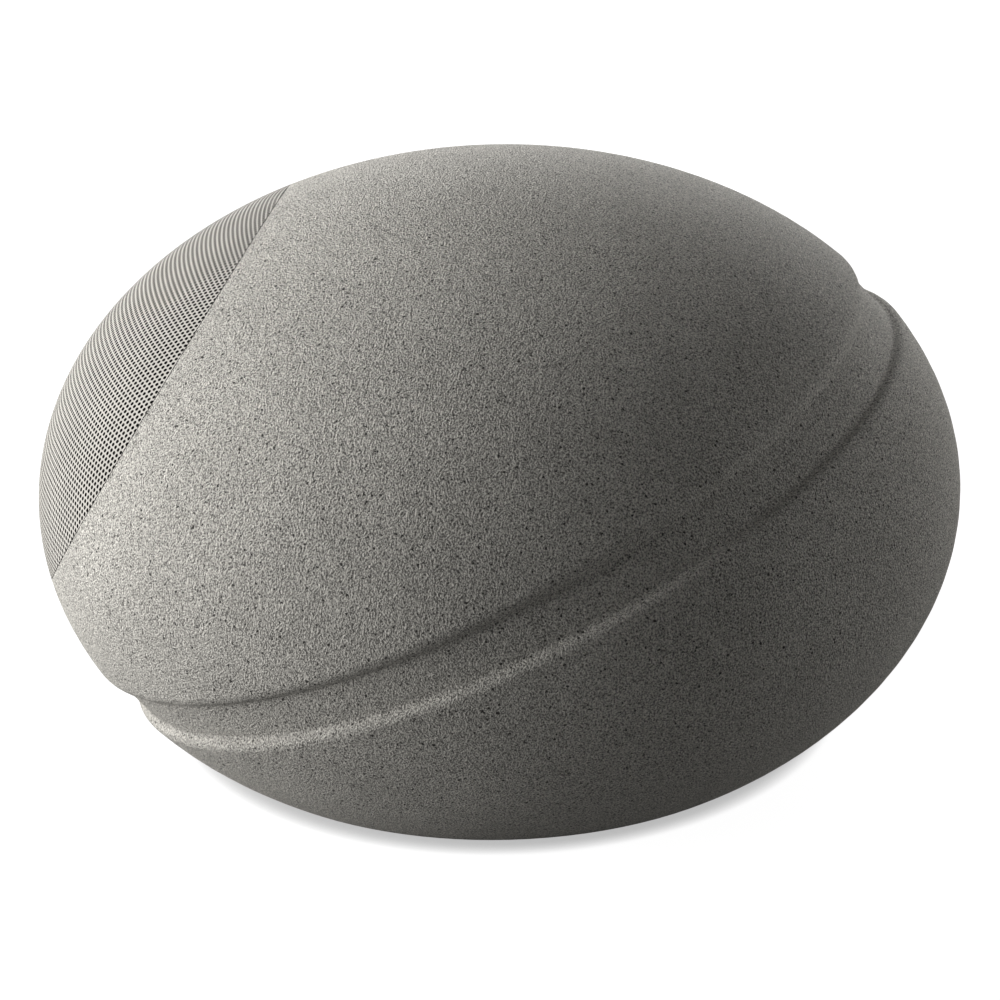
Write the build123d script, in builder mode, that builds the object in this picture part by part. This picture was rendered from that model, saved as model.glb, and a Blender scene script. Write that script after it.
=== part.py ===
from build123d import *
import os
from math import asin, cos, degrees, radians, sin

os.makedirs("parts", exist_ok=True)

# Pebble form: an oblate spheroid cut flat underneath
half_width = 220.0
half_height = 152.5
centre_above_base = 109.5
foot_proud = 1.5
base_z = foot_proud
centre_z = base_z + centre_above_base
centre = Vector(0, 0, centre_z)

# Moulded shells and the groove between them
upper_wall = 7.0
lower_wall = 7.0
floor_thickness = 7.0
groove_tilt = 24.0
rim_offset = -8.6
seam_offset = 11.7
groove_depth = 4.5
upper_lip_radius = 6.0
rim_radius = 4.3
base_edge_radius = 3.0
spigot_height = 14.0
spigot_wall = 4.5
spigot_root = 16.0
fit_gap = 0.3
gasket_width = 3.0
gasket_rise = 5.0
gasket_depth = 1.8
gasket_gap = 0.1

# Grille opening and what lies behind it
grille_tilt = 59.7
grille_offset = 159.7
grille_sheet = 1.2
cloth_sheet = 0.5
layer_gap = 0.1
ledge_width = 12.0
seat_depth = 6.0
hole_pitch = 26.0
hole_diameter = 17.0
hole_margin = 5.0
hole_rows = 13

# Baffle and its screws
baffle_thickness = 8.0
baffle_screw_count = 8
screw_shank = 3.5
screw_head = 6.4
screw_head_height = 2.4
screw_bite = 6.0
screw_gap = 0.2

# Woofer, measured from the front of the baffle along its axis
flange_radius = 85.0
flange_thickness = 4.0
flange_inner = 69.7
driver_gasket = 1.0
basket_mouth = 72.5
basket_depth = 54.0
basket_foot = 46.0
basket_hub = 28.0
basket_plate = 3.0
basket_window_count = 4
basket_window_width = 34.0
shelf_depth = 43.0
shelf_inner = 41.0
shelf_outer = 47.5
driver_cutout_gap = 1.5
driver_screw_circle = 80.5
driver_screw_count = 4

# Cone, surround, spider and voice coil
cone_radius = 62.0
cone_neck = 14.0
cone_depth = 36.0
cone_sheet = 1.0
surround_foot = 0.2
surround_roll = 4.5
surround_sheet = 1.0
surround_lip = 4.6
spider_sheet = 0.7
spider_wave = 1.2
spider_folds = 6
former_radius = 13.4
former_wall = 0.5
former_length = 25.0
winding_wall = 0.5
winding_length = 8.0

# Motor
top_plate_radius = 45.0
top_plate_bore = 15.2
top_plate_thickness = 6.0
magnet_radius = 50.0
magnet_bore = 22.0
magnet_thickness = 18.0
back_plate_radius = 45.0
back_plate_thickness = 6.0
pole_radius = 12.4

# Tweeter on its post
post_radius = 4.5
tweeter_base = -8.0
tweeter_radius = 20.0
tweeter_height = 12.0
tweeter_wall = 2.0
tweeter_magnet_radius = 13.0
tweeter_magnet_height = 7.0
faceplate_bore = 11.4
faceplate_thickness = 2.0
dome_radius = 10.5
dome_height = 4.0
dome_sheet = 0.5
dome_rim = 1.8

# Screw pillars that draw the two shells together
pillar_x = 115.0
pillar_front = -40.0
pillar_back = 70.0
pillar_radius = 9.0
pillar_split = -40.0
pillar_web = 18.0
shell_screw_shank = 5.0
shell_screw_head = 9.5
shell_screw_head_height = 4.0
shell_screw_bite = 20.0
shell_screw_gap = 0.3

# Feet and cable entry under the base
foot_circle = 112.0
foot_radius = 15.0
foot_recess = 2.0
foot_count = 4
foot_edge = 1.0
entry_y = 118.0
entry_pocket_radius = 22.0
entry_pocket_depth = 18.0
entry_wall = 5.0
gland_thread = 8.0
gland_flange = 12.0
gland_flange_height = 4.0
gland_cap_height = 8.0
gland_nut = 11.5
gland_nut_height = 5.0
gland_bore = 4.5

# Crossover network on the floor of the lower shell
board_length = 110.0
board_width = 70.0
board_thickness = 1.6
board_y = 30.0
standoff_height = 8.0
standoff_radius = 4.0
standoff_inset = 6.0
board_screw_shank = 3.0
board_screw_head = 5.6
board_screw_head_height = 2.0
board_screw_bite = 5.0
coil_radius = 17.0
coil_bore = 8.0
coil_height = 16.0
coil_x = 26.0
coil_y = 14.0
capacitor_radius = 7.0
capacitor_length = 26.0
capacitor_spacing = 17.0
capacitor_y = -16.0
resistor_length = 24.0
resistor_section = 9.0
resistor_x = -40.0
resistor_y = -22.0
terminal_length = 22.0
terminal_depth = 11.0
terminal_height = 10.0
terminal_x = 38.0
terminal_y = -22.0
terminal_screw = 2.4

# Sound-absorbing pad against the rear wall
wadding_thickness = 20.0
wadding_front = 100.0
wadding_top = 60.0
wadding_bottom = -70.0

# Planes worked out from the sizes above
groove_normal = Vector(0, -sin(radians(groove_tilt)), cos(radians(groove_tilt)))
rim_plane = Plane(centre + groove_normal * rim_offset, x_dir=(1, 0, 0), z_dir=groove_normal)
seam_plane = Plane(centre + groove_normal * seam_offset, x_dir=(1, 0, 0), z_dir=groove_normal)
base_plane = Plane.XY.offset(base_z)
floor_plane = Plane.XY.offset(base_z + floor_thickness)

grille_sin = sin(radians(grille_tilt))
grille_cos = cos(radians(grille_tilt))
grille_normal = Vector(0, -grille_sin, grille_cos)
grille_reach = ((half_width * grille_sin) ** 2 + (half_height * grille_cos) ** 2) ** 0.5
grille_share = (1 - (grille_offset / grille_reach) ** 2) ** 0.5
opening_half_length = half_width * grille_share
opening_half_height = half_width * half_height / grille_reach * grille_share
opening_centre = centre + Vector(
    0, -half_width**2 * grille_sin, half_height**2 * grille_cos
) * (grille_offset / grille_reach**2)
grille_plane = Plane(opening_centre, x_dir=(1, 0, 0), z_dir=grille_normal)
seat_plane = grille_plane.offset(-seat_depth)
driver_axis = Axis(seat_plane.origin, grille_normal)
profile_plane = Plane(
    seat_plane.origin, x_dir=(1, 0, 0), z_dir=Vector(1, 0, 0).cross(grille_normal)
)
ledge_half_length = opening_half_length - ledge_width
ledge_half_height = opening_half_height - ledge_width


def pebble(inset):
    """The pebble form, drawn in all round by a depth."""
    with BuildPart() as form:
        with BuildSketch(Plane.XZ):
            with BuildLine():
                EllipticalCenterArc(
                    (0, centre_z), half_width - inset, half_height - inset, -90, arc_size=180
                )
                Line((0, centre_z + half_height - inset), (0, centre_z - half_height + inset))
            make_face()
        revolve(axis=Axis.Z)
    return form.part


def turned(points):
    """A round driver piece, turned about the woofer axis from (radius, height) points."""
    with BuildPart() as piece:
        with BuildSketch(profile_plane):
            with BuildLine():
                Polyline(*points, close=True)
            make_face()
        revolve(axis=driver_axis)
    return piece.part


def pan_screws(plane, places, shank, head, head_height, length):
    """Pan-head screws whose heads sit on a plane, with the shanks below it."""
    with BuildPart() as screws:
        with BuildSketch(plane):
            with Locations(*places):
                Circle(head / 2)
        extrude(amount=head_height)
        flat_faces = screws.faces().filter_by(GeomType.PLANE)
        head_tops = flat_faces.sort_by(Axis(plane.origin, plane.z_dir))
        fillet(head_tops[-len(places):].edges(), head_height / 2)
        with BuildSketch(plane):
            with Locations(*places):
                Circle(shank / 2)
        extrude(amount=-length)
    return screws.part


outer_form = pebble(0)
groove_form = pebble(groove_depth)
upper_cavity = pebble(upper_wall)
spigot_form = pebble(upper_wall + fit_gap)
spigot_cavity = pebble(upper_wall + fit_gap + spigot_wall)
lower_cavity = pebble(lower_wall)
grille_under = pebble(grille_sheet)
cloth_top = pebble(grille_sheet + layer_gap)
cloth_under = pebble(grille_sheet + layer_gap + cloth_sheet)
rebate_floor = pebble(grille_sheet + cloth_sheet + 2 * layer_gap)

# Screw places shared by the pieces that the screws pass through
pillar_places = [
    (side * pillar_x, y) for side in (-1, 1) for y in (pillar_front, pillar_back)
]
foot_places = PolarLocations(foot_circle, foot_count, 360 / foot_count / 2)
board_places = [
    (sx * (board_length / 2 - standoff_inset), board_y + sy * (board_width / 2 - standoff_inset))
    for sx in (-1, 1)
    for sy in (-1, 1)
]
with BuildPart() as seat_section:
    add(upper_cavity)
    split(bisect_by=seat_plane, keep=Keep.BOTTOM)
seat_outline = seat_section.faces().filter_by(GeomType.PLANE)[0]
seat_middle = seat_plane.to_local_coords(seat_outline.center(CenterOf.MASS))
seat_box = seat_plane.to_local_coords(seat_outline).bounding_box()
baffle_screw_half_length = (seat_box.size.X / 2 + ledge_half_length) / 2
baffle_screw_half_height = (seat_box.size.Y / 2 + ledge_half_height) / 2
baffle_places = [
    (
        baffle_screw_half_length * cos(radians((index + 0.5) * 360 / baffle_screw_count)),
        seat_middle.Y / 2
        + baffle_screw_half_height * sin(radians((index + 0.5) * 360 / baffle_screw_count)),
    )
    for index in range(baffle_screw_count)
]
driver_places = [
    (
        driver_screw_circle * cos(radians((index + 0.5) * 360 / driver_screw_count)),
        driver_screw_circle * sin(radians((index + 0.5) * 360 / driver_screw_count)),
    )
    for index in range(driver_screw_count)
]
pillar_top = centre_z + pillar_split

# Upper shell: rolled lip over the groove, rebate for the grille, flat seat for the baffle
with BuildPart() as seat_void:
    add(upper_cavity)
    split(bisect_by=seat_plane, keep=Keep.BOTTOM)

with BuildPart() as grille_rebate:
    add(outer_form)
    add(rebate_floor, mode=Mode.SUBTRACT)
    split(bisect_by=grille_plane, keep=Keep.TOP)

with BuildPart() as upper_pillars:
    with BuildSketch(Plane.XY.offset(pillar_top)):
        with Locations(*pillar_places):
            Circle(pillar_radius)
    extrude(amount=half_height - pillar_split)
    add(pebble(upper_wall / 2), mode=Mode.INTERSECT)
    with BuildSketch(Plane.XY.offset(pillar_top)):
        with Locations(*pillar_places):
            Circle(shell_screw_shank / 2 + shell_screw_gap)
    extrude(amount=shell_screw_bite + shell_screw_head_height, mode=Mode.SUBTRACT)

with BuildPart() as upper_shell:
    add(outer_form)
    split(bisect_by=seam_plane, keep=Keep.TOP)
    fillet(upper_shell.faces().filter_by(GeomType.PLANE).edges(), upper_lip_radius)
    add(seat_void.part, mode=Mode.SUBTRACT)
    with BuildSketch(seat_plane):
        Ellipse(ledge_half_length, ledge_half_height)
    extrude(amount=half_width, mode=Mode.SUBTRACT)
    add(grille_rebate.part, mode=Mode.SUBTRACT)
    with BuildSketch(seat_plane):
        with Locations(*baffle_places):
            Circle(screw_shank / 2 + screw_gap)
    extrude(amount=screw_bite + screw_gap, mode=Mode.SUBTRACT)
    add(upper_pillars.part)
upper_shell.part.label = "upper_shell"
export_step(upper_shell.part, "parts/upper_shell.step")

# Lower shell: bowl with a rounded rim, groove floor, spigot, pillars and cable pocket in one
with BuildPart() as groove_floor:
    add(groove_form)
    split(bisect_by=seam_plane, keep=Keep.BOTTOM)
    split(bisect_by=rim_plane.offset(-spigot_root), keep=Keep.TOP)

with BuildPart() as gasket_channel:
    add(outer_form)
    add(pebble(upper_wall + gasket_gap + gasket_depth), mode=Mode.SUBTRACT)
    split(bisect_by=seam_plane.offset(gasket_rise), keep=Keep.TOP)
    split(bisect_by=seam_plane.offset(gasket_rise + gasket_width), keep=Keep.BOTTOM)

with BuildPart() as spigot:
    add(spigot_form)
    split(bisect_by=seam_plane.offset(spigot_height), keep=Keep.BOTTOM)
    split(bisect_by=rim_plane.offset(-spigot_root), keep=Keep.TOP)
    add(gasket_channel.part, mode=Mode.SUBTRACT)

with BuildPart() as bowl_void:
    add(lower_cavity)
    split(bisect_by=rim_plane.offset(-spigot_root), keep=Keep.BOTTOM)
    split(bisect_by=floor_plane, keep=Keep.TOP)

with BuildPart() as spigot_void:
    add(spigot_cavity)
    split(bisect_by=floor_plane, keep=Keep.TOP)

with BuildPart() as lower_shell:
    add(outer_form)
    split(bisect_by=rim_plane, keep=Keep.BOTTOM)
    split(bisect_by=base_plane, keep=Keep.TOP)
    fillet(lower_shell.faces().sort_by(Axis.Z)[-1].edges(), rim_radius)
    fillet(lower_shell.faces().sort_by(Axis.Z)[0].edges(), base_edge_radius)
    add(groove_floor.part)
    add(spigot.part)
    add(bowl_void.part, mode=Mode.SUBTRACT)
    add(spigot_void.part, mode=Mode.SUBTRACT)
    with BuildSketch(base_plane.offset(floor_thickness / 2)):
        with Locations(*pillar_places):
            Circle(pillar_radius)
    extrude(amount=pillar_top - base_z - floor_thickness / 2)
    with BuildSketch(base_plane.offset(floor_thickness / 2)):
        with Locations(*board_places):
            Circle(standoff_radius)
    extrude(amount=floor_thickness / 2 + standoff_height)
    with BuildSketch(base_plane):
        with Locations((0, entry_y)):
            Circle(entry_pocket_radius + entry_wall)
    extrude(amount=entry_pocket_depth + entry_wall)
    with BuildSketch(base_plane):
        with Locations((0, entry_y)):
            Circle(entry_pocket_radius)
    extrude(amount=entry_pocket_depth, mode=Mode.SUBTRACT)
    with BuildSketch(base_plane):
        with Locations((0, entry_y)):
            Circle(gland_thread + fit_gap)
    extrude(amount=entry_pocket_depth + entry_wall, mode=Mode.SUBTRACT)
    with BuildSketch(base_plane):
        with foot_places:
            Circle(foot_radius + fit_gap)
    extrude(amount=foot_recess, mode=Mode.SUBTRACT)
    with BuildSketch(base_plane):
        with Locations(*pillar_places):
            Circle(shell_screw_head / 2 + shell_screw_gap)
    extrude(amount=pillar_top - base_z - pillar_web, mode=Mode.SUBTRACT)
    with BuildSketch(base_plane):
        with Locations(*pillar_places):
            Circle(shell_screw_shank / 2 + shell_screw_gap)
    extrude(amount=pillar_top - base_z, mode=Mode.SUBTRACT)
    with BuildSketch(floor_plane.offset(standoff_height)):
        with Locations(*board_places):
            Circle(board_screw_shank / 2 + screw_gap)
    extrude(amount=-board_screw_bite - screw_gap, mode=Mode.SUBTRACT)
lower_shell.part.label = "lower_shell"
export_step(lower_shell.part, "parts/lower_shell.step")

# Gasket: rubber ring in a channel round the spigot, pressed by the inside of the upper shell
with BuildPart() as shell_gasket:
    add(pebble(upper_wall + gasket_gap))
    add(pebble(upper_wall + gasket_gap + gasket_depth), mode=Mode.SUBTRACT)
    split(bisect_by=seam_plane.offset(gasket_rise), keep=Keep.TOP)
    split(bisect_by=seam_plane.offset(gasket_rise + gasket_width), keep=Keep.BOTTOM)
shell_gasket.part.label = "shell_gasket"
export_step(shell_gasket.part, "parts/shell_gasket.step")

# Shell screws: driven up from under the base through the lower pillars
screw_seat = Plane((0, 0, pillar_top - pillar_web), x_dir=(1, 0, 0), z_dir=(0, 0, -1))
with BuildPart() as shell_screws:
    add(
        pan_screws(
            screw_seat,
            [(x, -y) for x, y in pillar_places],
            shell_screw_shank,
            shell_screw_head,
            shell_screw_head_height,
            pillar_web + shell_screw_bite,
        )
    )
shell_screws.part.label = "shell_screws"
export_step(shell_screws.part, "parts/shell_screws.step")

# Grille: domed perforated sheet, flush with the upper shell
with BuildPart() as grille:
    add(outer_form)
    split(bisect_by=grille_plane.offset(fit_gap), keep=Keep.TOP)
    add(grille_under, mode=Mode.SUBTRACT)
    hole_half_length = opening_half_length - hole_margin - hole_diameter / 2
    hole_half_height = opening_half_height - hole_margin - hole_diameter / 2
    with BuildSketch(grille_plane):
        with HexLocations(hole_pitch / 2, hole_rows, hole_rows, major_radius=False) as hole_grid:
            hole_places = [
                place.position
                for place in hole_grid.local_locations
                if (place.position.X / hole_half_length) ** 2
                + (place.position.Y / hole_half_height) ** 2
                < 1
            ]
        with Locations(*hole_places):
            Circle(hole_diameter / 2)
    extrude(amount=half_width, mode=Mode.SUBTRACT)
grille.part.label = "grille"
export_step(grille.part, "parts/grille.step")

# Acoustic cloth: thin dark layer under the whole grille, held at its edge on the ledge
with BuildPart() as grille_cloth:
    add(cloth_top)
    split(bisect_by=grille_plane.offset(fit_gap), keep=Keep.TOP)
    add(cloth_under, mode=Mode.SUBTRACT)
grille_cloth.part.label = "grille_cloth"
export_step(grille_cloth.part, "parts/grille_cloth.step")

# Baffle: flat board shaped to the inside of the shell, screwed to the seat
with BuildPart() as baffle:
    with BuildSketch(seat_plane):
        with Locations((0, seat_middle.Y)):
            Ellipse(seat_box.size.X / 2 - fit_gap, seat_box.size.Y / 2 - fit_gap)
        Circle(basket_mouth + driver_cutout_gap, mode=Mode.SUBTRACT)
    extrude(amount=-baffle_thickness)
    with BuildSketch(seat_plane):
        with Locations(*baffle_places):
            Circle(screw_shank / 2 + screw_gap)
        with Locations(*driver_places):
            Circle(screw_shank / 2 + screw_gap)
    extrude(amount=-baffle_thickness, mode=Mode.SUBTRACT)
baffle.part.label = "baffle"
export_step(baffle.part, "parts/baffle.step")

# Baffle screws: driven from inside the shell into its seat
baffle_rear = Plane(
    seat_plane.origin - grille_normal * baffle_thickness, x_dir=(1, 0, 0), z_dir=-grille_normal
)
with BuildPart() as baffle_screws:
    add(
        pan_screws(
            baffle_rear,
            [(x, -y) for x, y in baffle_places],
            screw_shank,
            screw_head,
            screw_head_height,
            baffle_thickness + screw_bite,
        )
    )
baffle_screws.part.label = "baffle_screws"
export_step(baffle_screws.part, "parts/baffle_screws.step")

# Driver gasket: foam ring under the woofer flange
flange_under = driver_gasket
flange_top = driver_gasket + flange_thickness
with BuildPart() as woofer_gasket:
    with BuildSketch(seat_plane):
        Circle(flange_radius - fit_gap)
        Circle(basket_mouth + driver_cutout_gap, mode=Mode.SUBTRACT)
        with Locations(*driver_places):
            Circle(screw_shank / 2 + screw_gap, mode=Mode.SUBTRACT)
    extrude(amount=driver_gasket)
woofer_gasket.part.label = "woofer_gasket"
export_step(woofer_gasket.part, "parts/woofer_gasket.step")

# Basket: pressed steel frame with windows between its arms
window_top = (flange_inner + shelf_outer) / 2
with BuildPart() as basket:
    add(
        turned(
            [
                (flange_radius, flange_under),
                (flange_radius, flange_top),
                (flange_inner, flange_top),
                (flange_inner, flange_under),
                (shelf_outer, -shelf_depth),
                (shelf_inner, -shelf_depth),
                (shelf_inner, -basket_depth + basket_plate),
                (basket_hub, -basket_depth + basket_plate),
                (basket_hub, -basket_depth),
                (basket_foot, -basket_depth),
                (basket_mouth, flange_under),
            ]
        )
    )
    with BuildSketch(seat_plane.offset(-baffle_thickness)):
        with PolarLocations((flange_inner + shelf_outer) / 2, basket_window_count):
            SlotOverall(basket_window_width, window_top - shelf_outer, rotation=90)
    extrude(amount=-(shelf_depth - baffle_thickness), mode=Mode.SUBTRACT)
    with BuildSketch(seat_plane):
        with Locations(*driver_places):
            Circle(screw_shank / 2 + screw_gap)
    extrude(amount=flange_top, mode=Mode.SUBTRACT)
basket.part.label = "woofer_basket"
export_step(basket.part, "parts/woofer_basket.step")

# Woofer screws: through flange and gasket into the baffle
with BuildPart() as woofer_screws:
    add(
        pan_screws(
            seat_plane.offset(flange_top),
            driver_places,
            screw_shank,
            screw_head,
            screw_head_height,
            flange_top + baffle_thickness,
        )
    )
woofer_screws.part.label = "woofer_screws"
export_step(woofer_screws.part, "parts/woofer_screws.step")

# Surround: rubber half roll between the cone edge and the flange
roll_middle = cone_radius + surround_foot + surround_sheet + surround_roll
roll_lip = (surround_roll**2 - surround_sheet**2) ** 0.5
roll_inner = surround_roll - surround_sheet
surround_top = flange_top + surround_sheet
with BuildPart() as surround:
    with BuildSketch(profile_plane):
        with BuildLine():
            Line((cone_radius + surround_foot, flange_top), (roll_middle - roll_inner, flange_top))
            ThreePointArc(
                (roll_middle - roll_inner, flange_top),
                (roll_middle, flange_top + roll_inner),
                (roll_middle + roll_inner, flange_top),
            )
            Polyline(
                (roll_middle + roll_inner, flange_top),
                (roll_middle + surround_roll + surround_lip, flange_top),
                (roll_middle + surround_roll + surround_lip, surround_top),
                (roll_middle + roll_lip, surround_top),
            )
            ThreePointArc(
                (roll_middle + roll_lip, surround_top),
                (roll_middle, flange_top + surround_roll),
                (roll_middle - roll_lip, surround_top),
            )
            Polyline(
                (roll_middle - roll_lip, surround_top),
                (cone_radius + surround_foot, surround_top),
                (cone_radius + surround_foot, flange_top),
            )
        make_face()
    revolve(axis=driver_axis)
surround.part.label = "woofer_surround"
export_step(surround.part, "parts/woofer_surround.step")

# Cone: thin stiff funnel from the voice coil out to the surround
with BuildPart() as cone:
    add(
        turned(
            [
                (cone_neck, -cone_depth),
                (cone_radius, flange_top),
                (cone_radius, flange_top + cone_sheet),
                (cone_neck, -cone_depth + cone_sheet),
            ]
        )
    )
cone.part.label = "woofer_cone"
export_step(cone.part, "parts/woofer_cone.step")

# Spider: pleated disc that keeps the voice coil central, glued to the basket shelf
spider_bore = former_radius + former_wall + winding_wall + fit_gap
spider_pleat = (shelf_inner - spider_bore) / spider_folds
spider_middle = -shelf_depth + spider_wave
spider_line = [
    (spider_bore + spider_pleat * fold, spider_middle + (spider_wave if fold % 2 else 0.0))
    for fold in range(spider_folds)
]
spider_line = spider_line + [(shelf_inner, -shelf_depth), (shelf_outer - fit_gap, -shelf_depth)]
with BuildPart() as spider:
    add(turned(spider_line + [(r, height + spider_sheet) for r, height in reversed(spider_line)]))
spider.part.label = "woofer_spider"
export_step(spider.part, "parts/woofer_spider.step")

# Voice coil: former tube with its winding in the magnet gap
former_outer = former_radius + former_wall
former_bottom = -cone_depth - former_length
with BuildPart() as voice_coil:
    add(
        turned(
            [
                (former_radius, former_bottom),
                (former_outer + winding_wall, former_bottom),
                (former_outer + winding_wall, former_bottom + winding_length),
                (former_outer, former_bottom + winding_length),
                (former_outer, -cone_depth + cone_sheet),
                (former_radius, -cone_depth + cone_sheet),
            ]
        )
    )
voice_coil.part.label = "voice_coil"
export_step(voice_coil.part, "parts/voice_coil.step")

# Motor: top plate, ring magnet and back plate with its pole
plate_top = -basket_depth
magnet_top = plate_top - top_plate_thickness
magnet_bottom = magnet_top - magnet_thickness
motor_bottom = magnet_bottom - back_plate_thickness
with BuildPart() as top_plate:
    with BuildSketch(seat_plane.offset(magnet_top)):
        Circle(top_plate_radius)
        Circle(top_plate_bore, mode=Mode.SUBTRACT)
    extrude(amount=top_plate_thickness)
top_plate.part.label = "top_plate"
export_step(top_plate.part, "parts/top_plate.step")

with BuildPart() as magnet:
    with BuildSketch(seat_plane.offset(magnet_bottom)):
        Circle(magnet_radius)
        Circle(magnet_bore, mode=Mode.SUBTRACT)
    extrude(amount=magnet_thickness)
magnet.part.label = "woofer_magnet"
export_step(magnet.part, "parts/woofer_magnet.step")

with BuildPart() as back_plate:
    with BuildSketch(seat_plane.offset(motor_bottom)):
        Circle(back_plate_radius)
    extrude(amount=back_plate_thickness)
    with BuildSketch(seat_plane.offset(magnet_bottom)):
        Circle(pole_radius)
    extrude(amount=plate_top - magnet_bottom)
back_plate.part.label = "back_plate"
export_step(back_plate.part, "parts/back_plate.step")

# Tweeter: post on the pole, cup, magnet, dome and faceplate
tweeter_rim = tweeter_base + tweeter_height
tweeter_floor = tweeter_base + tweeter_wall
dome_seat = tweeter_floor + tweeter_magnet_height
dome_top = dome_seat + dome_height + dome_sheet
dome_curve = (dome_radius**2 + dome_height**2) / (2 * dome_height)
dome_middle = dome_top - dome_curve
dome_start = degrees(asin((dome_curve - dome_height) / dome_curve))
with BuildPart() as tweeter_post:
    with BuildSketch(seat_plane.offset(plate_top)):
        Circle(post_radius)
    extrude(amount=tweeter_base - plate_top)
tweeter_post.part.label = "tweeter_post"
export_step(tweeter_post.part, "parts/tweeter_post.step")

with BuildPart() as tweeter_cup:
    add(
        turned(
            [
                (0, tweeter_base),
                (tweeter_radius, tweeter_base),
                (tweeter_radius, tweeter_rim),
                (tweeter_radius - tweeter_wall, tweeter_rim),
                (tweeter_radius - tweeter_wall, tweeter_floor),
                (0, tweeter_floor),
            ]
        )
    )
tweeter_cup.part.label = "tweeter_cup"
export_step(tweeter_cup.part, "parts/tweeter_cup.step")

with BuildPart() as tweeter_magnet:
    with BuildSketch(seat_plane.offset(tweeter_floor)):
        Circle(tweeter_magnet_radius)
    extrude(amount=tweeter_magnet_height)
tweeter_magnet.part.label = "tweeter_magnet"
export_step(tweeter_magnet.part, "parts/tweeter_magnet.step")

with BuildPart() as tweeter_dome:
    with BuildSketch(profile_plane):
        with BuildLine():
            Line((0, dome_top - dome_sheet), (0, dome_top))
            CenterArc((0, dome_middle), dome_curve, dome_start, arc_size=90 - dome_start)
            Polyline(
                (dome_radius, dome_seat + dome_sheet),
                (dome_radius + dome_rim, dome_seat + dome_sheet),
                (dome_radius + dome_rim, dome_seat),
                (dome_radius, dome_seat),
            )
            CenterArc(
                (0, dome_middle - dome_sheet), dome_curve, dome_start, arc_size=90 - dome_start
            )
        make_face()
    revolve(axis=driver_axis)
tweeter_dome.part.label = "tweeter_dome"
export_step(tweeter_dome.part, "parts/tweeter_dome.step")

with BuildPart() as tweeter_faceplate:
    add(
        turned(
            [
                (faceplate_bore, tweeter_rim),
                (tweeter_radius, tweeter_rim),
                (tweeter_radius - faceplate_thickness / 2, tweeter_rim + faceplate_thickness),
                (faceplate_bore + faceplate_thickness, tweeter_rim + faceplate_thickness),
            ]
        )
    )
tweeter_faceplate.part.label = "tweeter_faceplate"
export_step(tweeter_faceplate.part, "parts/tweeter_faceplate.step")

# Crossover board on its standoffs, with the parts soldered to it
board_under = base_z + floor_thickness + standoff_height
board_top = board_under + board_thickness
with BuildPart() as crossover_board:
    with BuildSketch(Plane.XY.offset(board_under)):
        with Locations((0, board_y)):
            Rectangle(board_length, board_width)
        with Locations(*board_places):
            Circle(board_screw_shank / 2 + screw_gap, mode=Mode.SUBTRACT)
    extrude(amount=board_thickness)
crossover_board.part.label = "crossover_board"
export_step(crossover_board.part, "parts/crossover_board.step")

with BuildPart() as board_screws:
    add(
        pan_screws(
            Plane.XY.offset(board_top),
            board_places,
            board_screw_shank,
            board_screw_head,
            board_screw_head_height,
            board_thickness + board_screw_bite,
        )
    )
board_screws.part.label = "board_screws"
export_step(board_screws.part, "parts/board_screws.step")

with BuildPart() as inductors:
    with BuildSketch(Plane.XY.offset(board_top)):
        with Locations((-coil_x, board_y + coil_y), (coil_x, board_y + coil_y)):
            Circle(coil_radius)
            Circle(coil_bore, mode=Mode.SUBTRACT)
    extrude(amount=coil_height)
inductors.part.label = "inductors"
export_step(inductors.part, "parts/inductors.step")

with BuildPart() as capacitors:
    with BuildSketch(Plane.XY.offset(board_top)):
        with Locations(
            (-capacitor_spacing, board_y + capacitor_y),
            (0, board_y + capacitor_y),
            (capacitor_spacing, board_y + capacitor_y),
        ):
            Circle(capacitor_radius)
    extrude(amount=capacitor_length)
    fillet(capacitors.faces().sort_by(Axis.Z)[-3:].edges(), screw_head_height / 2)
capacitors.part.label = "capacitors"
export_step(capacitors.part, "parts/capacitors.step")

with BuildPart() as resistor:
    with BuildSketch(Plane.XY.offset(board_top)):
        with Locations((resistor_x, board_y + resistor_y)):
            Rectangle(resistor_section, resistor_length / 2)
    extrude(amount=resistor_section)
resistor.part.label = "resistor"
export_step(resistor.part, "parts/resistor.step")

with BuildPart() as terminal_block:
    with BuildSketch(Plane.XY.offset(board_top)):
        with Locations((terminal_x, board_y + terminal_y)):
            Rectangle(terminal_length, terminal_depth)
    extrude(amount=terminal_height)
    with BuildSketch(Plane.XY.offset(board_top + terminal_height)):
        with Locations((terminal_x, board_y + terminal_y)):
            with GridLocations(terminal_length / 2, 1, 2, 1):
                Circle(terminal_screw)
    extrude(amount=-terminal_height / 2, mode=Mode.SUBTRACT)
terminal_block.part.label = "terminal_block"
export_step(terminal_block.part, "parts/terminal_block.step")

# Cable gland in the ceiling of the pocket under the base, and its lock nut inside
pocket_top = base_z + entry_pocket_depth
nut_seat = pocket_top + entry_wall
with BuildPart() as cable_gland:
    with BuildSketch(Plane.XY.offset(pocket_top - gland_flange_height)):
        with Locations((0, entry_y)):
            RegularPolygon(gland_flange, 6)
    extrude(amount=gland_flange_height)
    with BuildSketch(Plane.XY.offset(pocket_top - gland_flange_height)):
        with Locations((0, entry_y)):
            Circle(gland_thread + entry_wall / 4)
    extrude(amount=-gland_cap_height, taper=10)
    with BuildSketch(Plane.XY.offset(pocket_top)):
        with Locations((0, entry_y)):
            Circle(gland_thread)
    extrude(amount=entry_wall + gland_nut_height + gland_flange_height / 2)
    with BuildSketch(Plane.XY.offset(pocket_top - gland_flange_height - gland_cap_height)):
        with Locations((0, entry_y)):
            Circle(gland_bore)
    extrude(amount=entry_pocket_depth * 2, mode=Mode.SUBTRACT)
cable_gland.part.label = "cable_gland"
export_step(cable_gland.part, "parts/cable_gland.step")

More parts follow.
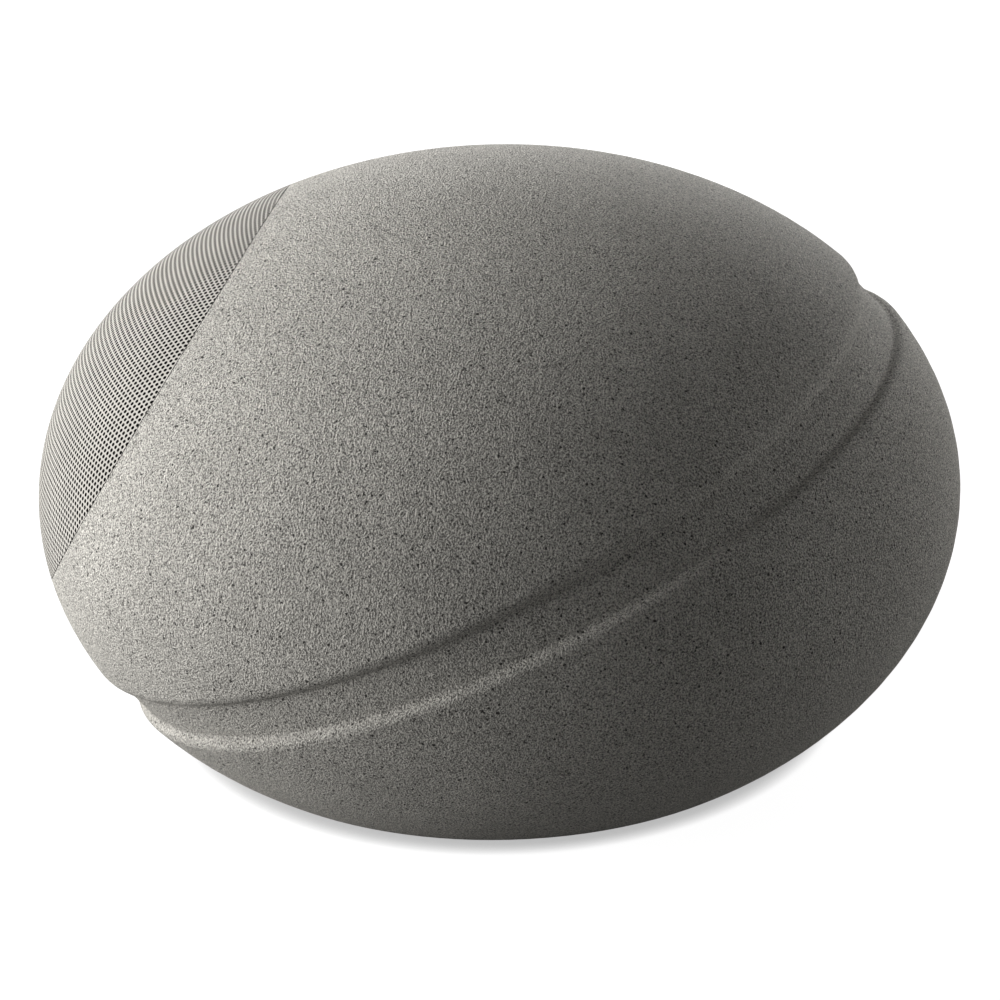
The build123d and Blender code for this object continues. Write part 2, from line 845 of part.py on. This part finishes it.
with BuildPart() as gland_nut_ring:
    with BuildSketch(Plane.XY.offset(nut_seat)):
        with Locations((0, entry_y)):
            RegularPolygon(gland_nut, 6)
            Circle(gland_thread + layer_gap, mode=Mode.SUBTRACT)
    extrude(amount=gland_nut_height)
gland_nut_ring.part.label = "gland_nut"
export_step(gland_nut_ring.part, "parts/gland_nut.step")

# Feet: rubber pads pressed into recesses of the base
with BuildPart() as feet:
    with BuildSketch(Plane.XY):
        with foot_places:
            Circle(foot_radius)
    extrude(amount=foot_proud + foot_recess)
    fillet(feet.faces().sort_by(Axis.Z)[:foot_count].edges(), foot_edge)
feet.part.label = "feet"
export_step(feet.part, "parts/feet.step")

# Wadding: soft pad that lies against the rear wall inside
with BuildPart() as wadding:
    add(pebble(upper_wall + spigot_wall + 2 * fit_gap))
    add(pebble(upper_wall + spigot_wall + 2 * fit_gap + wadding_thickness), mode=Mode.SUBTRACT)
    split(bisect_by=Plane((0, wadding_front, 0), z_dir=(0, 1, 0)), keep=Keep.TOP)
    split(bisect_by=Plane.XY.offset(centre_z + wadding_bottom), keep=Keep.TOP)
    split(bisect_by=Plane.XY.offset(centre_z + wadding_top), keep=Keep.BOTTOM)
wadding.part.label = "wadding"
export_step(wadding.part, "parts/wadding.step")
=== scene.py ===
from math import asin, cos, pi, radians, sin, sqrt

import bpy
from mathutils import Matrix, Vector


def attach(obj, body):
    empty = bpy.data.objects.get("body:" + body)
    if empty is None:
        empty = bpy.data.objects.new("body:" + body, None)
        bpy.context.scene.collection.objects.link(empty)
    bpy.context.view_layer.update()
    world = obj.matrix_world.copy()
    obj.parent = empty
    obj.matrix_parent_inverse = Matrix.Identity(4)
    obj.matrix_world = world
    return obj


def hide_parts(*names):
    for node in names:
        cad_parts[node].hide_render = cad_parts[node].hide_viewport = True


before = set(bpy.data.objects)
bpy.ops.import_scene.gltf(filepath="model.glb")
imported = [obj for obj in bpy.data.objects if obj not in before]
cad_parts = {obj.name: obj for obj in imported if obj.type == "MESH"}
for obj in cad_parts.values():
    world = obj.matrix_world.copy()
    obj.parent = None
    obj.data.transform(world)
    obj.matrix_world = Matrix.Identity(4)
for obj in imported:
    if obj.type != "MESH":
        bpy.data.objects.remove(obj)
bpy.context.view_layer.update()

scene = bpy.context.scene
scene.view_settings.view_transform = "Standard"

# Pebble form that both shells and the grille follow: an oblate spheroid with a round plan.
# Its half width, its half height and the height of its middle above the floor are the CAD's.
half_width = 0.2200
half_height = 0.1525
centre = Vector((0.0, 0.0, 0.1110))


def new_material(name):
    """A new material with its node tree and main shader."""
    material = bpy.data.materials.new(name)
    material.use_nodes = True
    tree = material.node_tree
    return material, tree, tree.nodes["Principled BSDF"]


def group_tree(name, inputs, outputs):
    """An empty shader node group with named sockets."""
    tree = bpy.data.node_groups.new(name, "ShaderNodeTree")
    for socket, kind, value in inputs:
        item = tree.interface.new_socket(name=socket, in_out="INPUT", socket_type=kind)
        item.default_value = value
    for socket, kind in outputs:
        tree.interface.new_socket(name=socket, in_out="OUTPUT", socket_type=kind)
    return tree, tree.nodes.new("NodeGroupInput"), tree.nodes.new("NodeGroupOutput")


def object_place(tree):
    """The place on the object, in metres."""
    return tree.nodes.new("ShaderNodeTexCoord").outputs["Object"]


def noise(tree, vector, scale, detail, output="Fac"):
    """A noise texture on a vector, in bumps to the metre."""
    node = tree.nodes.new("ShaderNodeTexNoise")
    node.inputs["Scale"].default_value = scale
    node.inputs["Detail"].default_value = detail
    tree.links.new(vector, node.inputs["Vector"])
    return node.outputs[output]


def ranged(tree, value, low, high, to_low, to_high):
    """A value taken from one range to another, held at the ends."""
    node = tree.nodes.new("ShaderNodeMapRange")
    sockets = ("From Min", "From Max", "To Min", "To Max")
    for socket, number in zip(sockets, (low, high, to_low, to_high)):
        node.inputs[socket].default_value = number
    tree.links.new(value, node.inputs["Value"])
    return node.outputs["Result"]


def combined(tree, operation, first, second):
    """Two values joined by one maths node. The second may be a plain number."""
    node = tree.nodes.new("ShaderNodeMath")
    node.operation = operation
    tree.links.new(first, node.inputs[0])
    if isinstance(second, float):
        node.inputs[1].default_value = second
    else:
        tree.links.new(second, node.inputs[1])
    return node.outputs["Value"]


def specks(tree, vector, scale, size, share):
    """A mask of scattered specks: a share of the cells of a pattern hold one each."""
    solid_share = 0.6
    cells = tree.nodes.new("ShaderNodeTexVoronoi")
    cells.inputs["Scale"].default_value = scale
    tree.links.new(vector, cells.inputs["Vector"])
    apart = tree.nodes.new("ShaderNodeSeparateColor")
    tree.links.new(cells.outputs["Color"], apart.inputs["Color"])
    spot = ranged(tree, cells.outputs["Distance"], size * solid_share, size, 1.0, 0.0)
    chosen = combined(tree, "GREATER_THAN", apart.outputs["Red"], 1.0 - share)
    return combined(tree, "MULTIPLY", spot, chosen)


def tinted(tree, colour, shade):
    """A colour made lighter and darker by a varying shade."""
    node = tree.nodes.new("ShaderNodeVectorMath")
    node.operation = "SCALE"
    node.inputs[0].default_value = colour
    tree.links.new(shade, node.inputs["Scale"])
    return node.outputs["Vector"]


def bumped(tree, shader, height, strength, distance):
    """A shader's surface follows a varying height."""
    node = tree.nodes.new("ShaderNodeBump")
    node.inputs["Strength"].default_value = strength
    node.inputs["Distance"].default_value = distance
    tree.links.new(height, node.inputs["Height"])
    tree.links.new(node.outputs["Normal"], shader.inputs["Normal"])


# Stone coat, sprayed over both moulded shells: a fine bumpy grain, soft cloudy patches,
# small dark specks all over and a few larger pits.
noise_span = (0.3, 0.7)
wobble_scale = 900.0
wobble_reach = 0.0016
grain_scale = 1250.0
grain_shades = (0.3, 1.7)
lump_scale = 400.0
lump_height = 0.5
cloud_scale = 26.0
cloud_shades = (0.95, 1.05)
small_speck = {"scale": 340.0, "size": 0.22, "share": 0.45}
large_speck = {"scale": 110.0, "size": 0.10, "share": 0.28}
pit_height = -0.6
stone_colour = (0.475, 0.457, 0.42)
speck_colour = (0.05, 0.047, 0.043)
stone_bump_strength = 1.0
stone_bump_distance = 0.0011
stone_roughness = 0.85
stone_specular = 0.2

stone_group, stone_in, stone_out = group_tree(
    "stone_coat",
    [("Vector", "NodeSocketVector", (0, 0, 0))],
    [("Shade", "NodeSocketFloat"), ("Specks", "NodeSocketFloat"), ("Height", "NodeSocketFloat")],
)
stone_place = stone_in.outputs["Vector"]
shifted = stone_group.nodes.new("ShaderNodeVectorMath")
shifted.operation = "MULTIPLY_ADD"
shifted.inputs[1].default_value = (wobble_reach, wobble_reach, wobble_reach)
wobble = noise(stone_group, stone_place, wobble_scale, 2.0, "Color")
stone_group.links.new(wobble, shifted.inputs[0])
stone_group.links.new(stone_place, shifted.inputs[2])
ragged_place = shifted.outputs["Vector"]

grain_height = noise(stone_group, stone_place, grain_scale, 1.0)
grain_shade = ranged(stone_group, grain_height, *noise_span, *grain_shades)
cloud = noise(stone_group, stone_place, cloud_scale, 4.0)
cloud_shade = ranged(stone_group, cloud, *noise_span, *cloud_shades)
coat_shade = combined(stone_group, "MULTIPLY", cloud_shade, grain_shade)
all_specks = combined(
    stone_group,
    "MAXIMUM",
    specks(stone_group, ragged_place, **small_speck),
    specks(stone_group, ragged_place, **large_speck),
)
lumps = noise(stone_group, stone_place, lump_scale, 2.0)
lumps = combined(stone_group, "MULTIPLY", lumps, lump_height)
pits = combined(stone_group, "MULTIPLY", all_specks, pit_height)
bumps = combined(stone_group, "ADD", grain_height, lumps)
coat_height = combined(stone_group, "ADD", bumps, pits)
stone_group.links.new(coat_shade, stone_out.inputs["Shade"])
stone_group.links.new(all_specks, stone_out.inputs["Specks"])
stone_group.links.new(coat_height, stone_out.inputs["Height"])

stone, stone_tree, stone_shader = new_material("stone_coat")
coat = stone_tree.nodes.new("ShaderNodeGroup")
coat.node_tree = stone_group
stone_tree.links.new(object_place(stone_tree), coat.inputs["Vector"])
speckled = stone_tree.nodes.new("ShaderNodeMix")
speckled.data_type = "RGBA"
speckled.inputs["B"].default_value = (*speck_colour, 1.0)
stone_tree.links.new(coat.outputs["Specks"], speckled.inputs["Factor"])
stone_tint = tinted(stone_tree, stone_colour, coat.outputs["Shade"])
stone_tree.links.new(stone_tint, speckled.inputs["A"])
stone_tree.links.new(speckled.outputs["Result"], stone_shader.inputs["Base Color"])
bumped(stone_tree, stone_shader, coat.outputs["Height"], stone_bump_strength, stone_bump_distance)
stone_shader.inputs["Roughness"].default_value = stone_roughness
stone_shader.inputs["Specular IOR Level"].default_value = stone_specular


def dress(node_name, material):
    """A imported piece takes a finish."""
    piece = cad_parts[node_name]
    piece.data.materials.clear()
    piece.data.materials.append(material)


dress("upper_shell", stone)
dress("lower_shell", stone)

# Coves: the sprayed coat lies in a soft hollow where the groove meets the lip above it and the rim
# below it. Each is a ring swept round the groove, hollow in front, in the shells' stone coat.
groove_tilt = radians(24.0)
groove_depth = 0.0045
lip_offset = 0.0117
lip_radius = 0.0060
rim_offset = -0.0086
rim_radius = 0.0043
cove_radius = 0.0030
cove_sink = 0.00006
cove_root = 0.00045
cove_steps = 240
cove_points = 7
smooth_angle = radians(40)
groove_rise = Vector((0.0, cos(groove_tilt), sin(groove_tilt)))


def plane_middle(wide, high, tilt, offset, reach):
    """From the pebble's centre to the middle of the oval in which a tilted plane cuts it."""
    return Vector((0.0, -(wide**2) * sin(tilt), high**2 * cos(tilt))) * (offset / reach**2)


def plane_reach(wide, high, tilt):
    """How far a tilted plane can move from the pebble's centre before it leaves the pebble."""
    return sqrt((wide * sin(tilt)) ** 2 + (high * cos(tilt)) ** 2)


def groove_point(inset, offset, angle):
    """A point of the pebble drawn in by a depth, on a plane that lies along the groove."""
    wide = half_width - inset
    high = half_height - inset
    reach = plane_reach(wide, high, groove_tilt)
    share = sqrt(1.0 - (offset / reach) ** 2)
    across = Vector((wide * share * cos(angle), 0.0, 0.0))
    rise = groove_rise * (wide * high / reach * share * sin(angle))
    return centre + plane_middle(wide, high, groove_tilt, offset, reach) + across + rise


def cove_section(offset, round_radius, side, angle):
    """Points of one section: the hollow from the groove's floor to the round edge, and the corner."""
    corner = groove_point(groove_depth, offset, angle)
    slopes = Vector((1 / half_width**2, 1 / half_width**2, 1 / half_height**2))
    outward = ((corner - centre) * slopes).normalized()
    inward = groove_point(groove_depth, offset - side * cove_radius, angle) - corner
    inward = (inward - outward * inward.dot(outward)).normalized()
    round_middle = groove_point(round_radius, offset + side * round_radius, angle) - corner
    above = round_middle.dot(outward)
    along = round_middle.dot(inward)
    touch = along + sqrt((round_radius + cove_radius) ** 2 - (cove_radius - above) ** 2)
    middle = outward * (cove_radius - cove_sink) + inward * (touch - cove_sink)
    to_round = (outward * above + inward * along - middle).normalized()
    section = []
    for step in range(cove_points):
        arm = (-outward).slerp(to_round, step / (cove_points - 1))
        section.append(corner + middle + arm * cove_radius)
    return section + [corner - outward * cove_root]


def new_piece(name, points, faces):
    """A piece made from points and faces. It is the only one selected."""
    mesh = bpy.data.meshes.new(name)
    mesh.from_pydata(points, [], faces)
    piece = bpy.data.objects.new(name, mesh)
    scene.collection.objects.link(piece)
    bpy.ops.object.select_all(action="DESELECT")
    piece.select_set(True)
    bpy.context.view_layer.objects.active = piece
    return piece


def face_outward():
    """The faces of the selected piece agree on which side is outside."""
    bpy.ops.object.mode_set(mode="EDIT")
    bpy.ops.mesh.select_all(action="SELECT")
    bpy.ops.mesh.normals_make_consistent(inside=False)
    bpy.ops.object.mode_set(mode="OBJECT")


def cove(name, offset, round_radius, side):
    """A ring of coat in the corner between the groove and a round edge."""
    points = []
    for step in range(cove_steps):
        points.extend(cove_section(offset, round_radius, side, 2 * pi * step / cove_steps))
    count = cove_points + 1
    faces = []
    for step in range(cove_steps):
        here = step * count
        there = (step + 1) % cove_steps * count
        for index in range(count):
            after = (index + 1) % count
            faces.append((here + index, here + after, there + after, there + index))
    ring = new_piece(name, points, faces)
    face_outward()
    bpy.ops.object.shade_smooth_by_angle(angle=smooth_angle)
    ring.data.materials.append(stone)
    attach(ring, "root")


cove("lip_cove", lip_offset, lip_radius, 1)
cove("rim_cove", rim_offset, rim_radius, -1)

# Grille: perforated steel sheet pressed to the pebble's curve and set flush in the upper shell,
# powder-coated in the shell's colour. The sheet's edge cuts through the outer holes.
grille_tilt = radians(59.7)
grille_offset = 0.1597
edge_gap = 0.0003
sheet_thickness = 0.0012
pitch = 0.00292
hole_radius = 0.00096
hole_sides = 6
corner_share = 1.1
row_turn = radians(15.5)
row_margin = 1.25
column_margin = 1.12
trim_share = 1.12
merge_share = 0.02
grille_normal = Vector((0.0, -sin(grille_tilt), cos(grille_tilt)))
grille_up = Vector((0.0, cos(grille_tilt), sin(grille_tilt)))
grille_reach = plane_reach(half_width, half_height, grille_tilt)
opening_share = sqrt(1.0 - (grille_offset / grille_reach) ** 2)
opening_half_length = half_width * opening_share
opening_half_height = half_width * half_height / grille_reach * opening_share
opening_centre = centre + plane_middle(
    half_width, half_height, grille_tilt, grille_offset, grille_reach
)
dome_height = grille_reach - grille_offset
curve_along = (opening_half_length**2 + dome_height**2) / (2 * dome_height)
curve_up = (opening_half_height**2 + dome_height**2) / (2 * dome_height)
sheet_half_length = curve_along * asin(opening_half_length / curve_along)
sheet_half_height = curve_up * asin(opening_half_height / curve_up)


def on_pebble(along, up):
    """The point of the pebble's surface in front of a point of the grille's opening."""
    foot = opening_centre - centre + Vector((along, 0.0, 0.0)) + grille_up * up
    scale = Vector((1 / half_width, 1 / half_width, 1 / half_height))
    start = foot * scale
    way = grille_normal * scale
    square = way.dot(way)
    half = start.dot(way)
    rest = start.dot(start) - 1.0
    travel = (-half + sqrt(max(half * half - square * rest, 0.0))) / square
    return centre + foot + grille_normal * travel


def spoke(degrees, length):
    """A flat vector of a length, at an angle."""
    return Vector((cos(radians(degrees)), sin(radians(degrees)), 0.0)) * length


# One cell of the sheet: the three bridges and two gussets between a hole and its neighbours.
hole_corners = [
    spoke(60 * corner + 30, hole_radius * corner_share) for corner in range(hole_sides)
]
neighbours = [spoke(60 * side, pitch) for side in range(3)]
cell_points = list(hole_corners)
cell_faces = []
for side, step in enumerate(neighbours):
    last = len(cell_points)
    cell_faces.append(((side + 5) % hole_sides, last, last + 1, side))
    cell_points.append(hole_corners[(side + 3) % hole_sides] + step)
    cell_points.append(hole_corners[(side + 2) % hole_sides] + step)
for side in (0, 1):
    last = len(cell_points)
    cell_faces.append((side, last, last + 1))
    cell_points.append(hole_corners[(side + 2) % hole_sides] + neighbours[side])
    cell_points.append(hole_corners[(side + 4) % hole_sides] + neighbours[side + 1])

# The flat sheet: the cell repeated in slanted rows, with shared edges joined.
row_height = pitch * sqrt(3) / 2
rows = int(2 * sheet_half_height / row_height * row_margin)
columns = int(2 * sheet_half_length / pitch * column_margin) + rows // 2
grille = new_piece("grille_sheet", cell_points, cell_faces)
for count, step in ((columns, neighbours[0]), (rows, neighbours[1])):
    repeat = grille.modifiers.new("rows", "ARRAY")
    repeat.count = count
    repeat.use_relative_offset = False
    repeat.use_constant_offset = True
    repeat.constant_offset_displace = step
    repeat.use_merge_vertices = False
    bpy.ops.object.modifier_apply(modifier=repeat.name)
bpy.ops.object.mode_set(mode="EDIT")
bpy.ops.mesh.select_all(action="SELECT")
bpy.ops.mesh.remove_doubles(threshold=pitch * merge_share)
bpy.ops.mesh.select_mode(type="VERT")
bpy.ops.mesh.select_all(action="DESELECT")
bpy.ops.object.mode_set(mode="OBJECT")

# The pressed sheet: laid on the pebble, and trimmed at the opening's plane.
sheet_middle = (neighbours[0] * (columns - 1) + neighbours[1] * (rows - 1)) / 2
turn = Matrix.Rotation(row_turn, 3, "Z")
for vertex in grille.data.vertices:
    flat = turn @ (vertex.co - sheet_middle)
    inside = abs(flat.x) < curve_along * pi / 2 and abs(flat.y) < curve_up * pi / 2
    along = curve_along * sin(flat.x / curve_along) if inside else half_width
    up = curve_up * sin(flat.y / curve_up) if inside else half_width
    oval = (along / opening_half_length) ** 2 + (up / opening_half_height) ** 2
    vertex.select = oval > trim_share
    vertex.co = on_pebble(along, up)
bpy.ops.object.mode_set(mode="EDIT")
bpy.ops.mesh.delete(type="VERT")
bpy.ops.mesh.select_all(action="SELECT")
bpy.ops.mesh.bisect(
    plane_co=opening_centre + grille_normal * edge_gap, plane_no=grille_normal, clear_inner=True
)
bpy.ops.object.mode_set(mode="OBJECT")
face_outward()
if grille.data.polygons[0].normal.dot(grille_normal) < 0:
    grille.data.flip_normals()

peel_scale = 1500.0
peel_shades = (0.93, 1.07)
paint_cloud_scale = 40.0
paint_bump_strength = 0.25
paint_bump_distance = 0.0002
paint_roughness = 0.8
paint_specular = 0.2
# Painted shade for the insides of the holes: near black, where the real walls share the coat's
# colour.
hole_wall_painted_shade = (0.02, 0.019, 0.018)


def sheet_paint(name, colour):
    """A coat of one colour with fine orange peel and faint clouds: the grille's powder coat, and,
    near black, the painted shade on its hole walls.
    """
    material, tree, shader = new_material(name)
    place = object_place(tree)
    peel = noise(tree, place, peel_scale, 2.0)
    peel_shade = ranged(tree, peel, *noise_span, *peel_shades)
    clouds = noise(tree, place, paint_cloud_scale, 3.0)
    clouds_shade = ranged(tree, clouds, *noise_span, *cloud_shades)
    shade = combined(tree, "MULTIPLY", peel_shade, clouds_shade)
    tree.links.new(tinted(tree, colour, shade), shader.inputs["Base Color"])
    bumped(tree, shader, peel, paint_bump_strength, paint_bump_distance)
    shader.inputs["Roughness"].default_value = paint_roughness
    shader.inputs["Specular IOR Level"].default_value = paint_specular
    return material


# The finished sheet: its thickness lies behind the pebble's surface, and its hole walls carry painted
# shade, near black, though the real walls share the coat's colour.
grille.data.materials.append(sheet_paint("grille_paint", stone_colour))
grille.data.materials.append(sheet_paint("hole_walls_painted_shade", hole_wall_painted_shade))
thicken = grille.modifiers.new("thickness", "SOLIDIFY")
thicken.thickness = sheet_thickness
thicken.offset = -1.0
thicken.material_offset_rim = 1
bpy.ops.object.modifier_apply(modifier=thicken.name)
bpy.ops.object.shade_smooth_by_angle(angle=smooth_angle)

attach(grille, "root")
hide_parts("grille")

# Hidden pieces: cloth, gaskets, baffle, driver, crossover, gland, feet and wadding. Each keeps
# its packed form and takes a plain finish with the fine grain of its own material.
grain_group, grain_in, grain_out = group_tree(
    "fine_grain",
    [
        ("Vector", "NodeSocketVector", (0, 0, 0)),
        ("Low", "NodeSocketFloat", 0.9),
        ("High", "NodeSocketFloat", 1.1),
    ],
    [("Shade", "NodeSocketFloat"), ("Height", "NodeSocketFloat")],
)
grain_noise = noise(grain_group, grain_in.outputs["Vector"], 1.0, 3.0)
grain_range = grain_group.nodes.new("ShaderNodeMapRange")
grain_group.links.new(grain_noise, grain_range.inputs["Value"])
grain_group.links.new(grain_in.outputs["Low"], grain_range.inputs["To Min"])
grain_group.links.new(grain_in.outputs["High"], grain_range.inputs["To Max"])
grain_group.links.new(grain_range.outputs["Result"], grain_out.inputs["Shade"])
grain_group.links.new(grain_noise, grain_out.inputs["Height"])
plain_bump_strength = 0.4


def plain_finish(name, colour, surface, grain_axes, contrast, bump_distance):
    """A finish of one colour with fine grain, in bumps to the metre along each axis."""
    material, tree, shader = new_material(name)
    mapping = tree.nodes.new("ShaderNodeMapping")
    mapping.inputs["Scale"].default_value = grain_axes
    tree.links.new(object_place(tree), mapping.inputs["Vector"])
    grain = tree.nodes.new("ShaderNodeGroup")
    grain.node_tree = grain_group
    grain.inputs["Low"].default_value = 1.0 - contrast
    grain.inputs["High"].default_value = 1.0 + contrast
    tree.links.new(mapping.outputs["Vector"], grain.inputs["Vector"])
    tint = tinted(tree, colour, grain.outputs["Shade"])
    tree.links.new(tint, shader.inputs["Base Color"])
    bumped(tree, shader, grain.outputs["Height"], plain_bump_strength, bump_distance)
    for socket, number in zip(("Roughness", "Metallic", "Specular IOR Level"), surface):
        shader.inputs[socket].default_value = number
    return material


# Each row: the pieces, then the finish's name, colour, surface (roughness, metallic, specular),
# grain along each axis, grain contrast and bump distance.
hidden_finishes = [
    (
        ["grille_cloth"],
        ("black_cloth", (0.003, 0.003, 0.003), (1.0, 0.0, 0.0), (2500, 2500, 2500), 0.5, 0.0002),
    ),
    (
        ["shell_gasket", "woofer_gasket", "woofer_surround", "feet"],
        ("black_rubber", (0.02, 0.02, 0.02), (0.75, 0.0, 0.5), (700, 700, 700), 0.15, 0.0001),
    ),
    (
        ["shell_screws", "baffle_screws", "woofer_screws", "top_plate", "back_plate", "board_screws"],
        ("zinc_steel", (0.55, 0.55, 0.56), (0.35, 1.0, 0.5), (900, 900, 200), 0.08, 0.00005),
    ),
    (
        ["baffle"],
        ("black_board", (0.04, 0.04, 0.04), (0.6, 0.0, 0.5), (500, 500, 500), 0.12, 0.0001),
    ),
    (
        ["woofer_basket"],
        ("black_metal", (0.03, 0.03, 0.03), (0.45, 0.0, 0.5), (1200, 1200, 1200), 0.1, 0.00005),
    ),
    (
        ["woofer_cone"],
        ("cone_plastic", (0.06, 0.06, 0.065), (0.5, 0.0, 0.5), (1500, 1500, 300), 0.2, 0.0001),
    ),
    (
        ["woofer_spider"],
        ("spider_cloth", (0.5, 0.32, 0.12), (0.9, 0.0, 0.2), (2000, 2000, 2000), 0.3, 0.0002),
    ),
    (
        ["voice_coil"],
        ("coil_metal", (0.65, 0.45, 0.28), (0.35, 1.0, 0.5), (200, 200, 4000), 0.15, 0.0001),
    ),
    (
        ["woofer_magnet", "tweeter_magnet"],
        ("ferrite", (0.06, 0.06, 0.065), (0.55, 0.0, 0.5), (900, 900, 900), 0.2, 0.0001),
    ),
    (
        ["tweeter_post"],
        ("post_metal", (0.6, 0.6, 0.62), (0.3, 1.0, 0.5), (300, 300, 2500), 0.06, 0.00005),
    ),
    (
        ["tweeter_dome"],
        ("dome_cloth", (0.05, 0.05, 0.06), (0.6, 0.0, 0.3), (2500, 2500, 2500), 0.25, 0.00005),
    ),
    (
        ["tweeter_cup", "tweeter_faceplate", "terminal_block", "cable_gland", "gland_nut"],
        ("black_plastic", (0.03, 0.03, 0.03), (0.5, 0.0, 0.5), (800, 800, 800), 0.12, 0.00005),
    ),
    (
        ["crossover_board"],
        ("board_green", (0.03, 0.16, 0.06), (0.4, 0.0, 0.5), (400, 400, 400), 0.12, 0.00005),
    ),
    (
        ["inductors"],
        ("copper_wire", (0.7, 0.3, 0.12), (0.35, 1.0, 0.5), (200, 200, 3000), 0.2, 0.0002),
    ),
    (
        ["capacitors"],
        ("capacitor_film", (0.4, 0.08, 0.03), (0.3, 0.0, 0.5), (300, 300, 300), 0.08, 0.00003),
    ),
    (
        ["resistor"],
        ("white_ceramic", (0.75, 0.74, 0.7), (0.7, 0.0, 0.5), (1200, 1200, 1200), 0.08, 0.00008),
    ),
    (
        ["wadding"],
        ("wadding_fibre", (0.65, 0.65, 0.62), (1.0, 0.0, 0.0), (350, 350, 350), 0.25, 0.001),
    ),
]
for node_names, finish in hidden_finishes:
    hidden_material = plain_finish(*finish)
    for node_name in node_names:
        dress(node_name, hidden_material)


def seen_rays(tree):
    """One for rays that show the background: from the camera, a reflection or through glass."""
    path = tree.nodes.new("ShaderNodeLightPath")
    seen = combined(tree, "MAXIMUM", path.outputs["Is Camera Ray"], path.outputs["Is Glossy Ray"])
    return combined(tree, "MAXIMUM", seen, path.outputs["Is Transmission Ray"])


# Floor: a wide sheet that the pebble stands on. It glows white where it is seen, with a painted
# shadow close under the pebble where ambient occlusion dims the glow, and its grey underlayer takes
# the lamps and their real shadow.
floor_size = 12.0
floor_grey = 0.26
painted_shadow_reach = 0.010
open_span = (0.2, 0.7)
glow_span = (0.48, 0.97)
bpy.ops.mesh.primitive_plane_add(size=floor_size, location=(0, 0, 0))
floor = bpy.context.active_object
floor.name = "floor"
floor_material, floor_tree, floor_shader = new_material("floor")
floor_shader.inputs["Base Color"].default_value = (floor_grey, floor_grey, floor_grey, 1.0)
floor_shader.inputs["Roughness"].default_value = 1.0
floor_shader.inputs["Specular IOR Level"].default_value = 0.0
# Painted shadow: the white glow dims where ambient occlusion finds the pebble close above the floor.
floor_open = floor_tree.nodes.new("ShaderNodeAmbientOcclusion")
floor_open.inputs["Distance"].default_value = painted_shadow_reach
floor_white_with_painted_shadow = ranged(floor_tree, floor_open.outputs["AO"], *open_span, *glow_span)
floor_seen = combined(floor_tree, "MULTIPLY", floor_white_with_painted_shadow, seen_rays(floor_tree))
floor_glow = floor_tree.nodes.new("ShaderNodeEmission")
floor_tree.links.new(floor_seen, floor_glow.inputs["Strength"])
floor_sum = floor_tree.nodes.new("ShaderNodeAddShader")
floor_tree.links.new(floor_shader.outputs["BSDF"], floor_sum.inputs[0])
floor_tree.links.new(floor_glow.outputs["Emission"], floor_sum.inputs[1])
floor_output = floor_tree.nodes["Material Output"]
floor_tree.links.new(floor_sum.outputs["Shader"], floor_output.inputs["Surface"])
floor.data.materials.append(floor_material)

# Room: dim for the pebble, white where it is seen.
room_dim = 0.09
room_white = 1.0
world = bpy.data.worlds.new("room")
scene.world = world
world.use_nodes = True
room_tree = world.node_tree
room = room_tree.nodes["Background"]
room.inputs["Color"].default_value = (1.0, 1.0, 1.0, 1.0)
room_level = ranged(room_tree, seen_rays(room_tree), 0.0, 1.0, room_dim, room_white)
room_tree.links.new(room_level, room.inputs["Strength"])


def soft_lamp(name, place, width, height, power):
    """An upright soft lamp that faces the pebble's middle and isn't seen itself."""
    lamp = bpy.data.lights.new(name, "AREA")
    lamp.shape = "RECTANGLE"
    lamp.size = width
    lamp.size_y = height
    lamp.energy = power
    holder = bpy.data.objects.new(name, lamp)
    holder.location = place
    holder.rotation_euler = (centre - Vector(place)).to_track_quat("-Z", "Y").to_euler()
    holder.visible_camera = False
    scene.collection.objects.link(holder)


# Lamps: a large soft one at the grille's side and a low one beside it, a low wide one behind that
# edges the top, and a weak one at the far end that lifts the shade there.
soft_lamp("key_lamp", (-0.38, -1.85, 0.88), 1.6, 1.4, 51.0)
soft_lamp("low_lamp", (0.85, -1.83, 0.47), 1.2, 0.8, 25.0)
soft_lamp("edge_lamp", (-1.97, 0.07, 0.29), 2.0, 0.5, 25.0)
soft_lamp("far_lamp", (-1.01, 1.75, 0.43), 1.4, 0.7, 7.0)

# Camera: a long lens at the pebble's right side, a little behind it and above, as in the photo.
view_turn = radians(11.797)
view_rise = radians(24.829)
view_roll = radians(-1.427)
view_distance = 2.2
image_size = 1000.0
focal_pixels = 4588.8
principal_x = 499.333
principal_y = 483.704
toward = Vector(
    (cos(view_rise) * cos(view_turn), cos(view_rise) * sin(view_turn), sin(view_rise))
)
level = Vector((-sin(view_turn), cos(view_turn), 0.0))
upright = toward.cross(level)
right = level * cos(view_roll) + upright * sin(view_roll)
upward = upright * cos(view_roll) - level * sin(view_roll)
camera = bpy.data.cameras.new("camera")
camera.sensor_width = 36.0
camera.lens = camera.sensor_width * focal_pixels / image_size
camera.shift_x = (image_size / 2 - principal_x) / image_size
camera.shift_y = (principal_y - image_size / 2) / image_size
camera_place = Matrix.Translation(centre + toward * view_distance)
camera_facing = Matrix((right, upward, toward)).transposed().to_4x4()
camera_holder = bpy.data.objects.new("camera", camera)
camera_holder.matrix_world = camera_place @ camera_facing
scene.collection.objects.link(camera_holder)
scene.camera = camera_holder
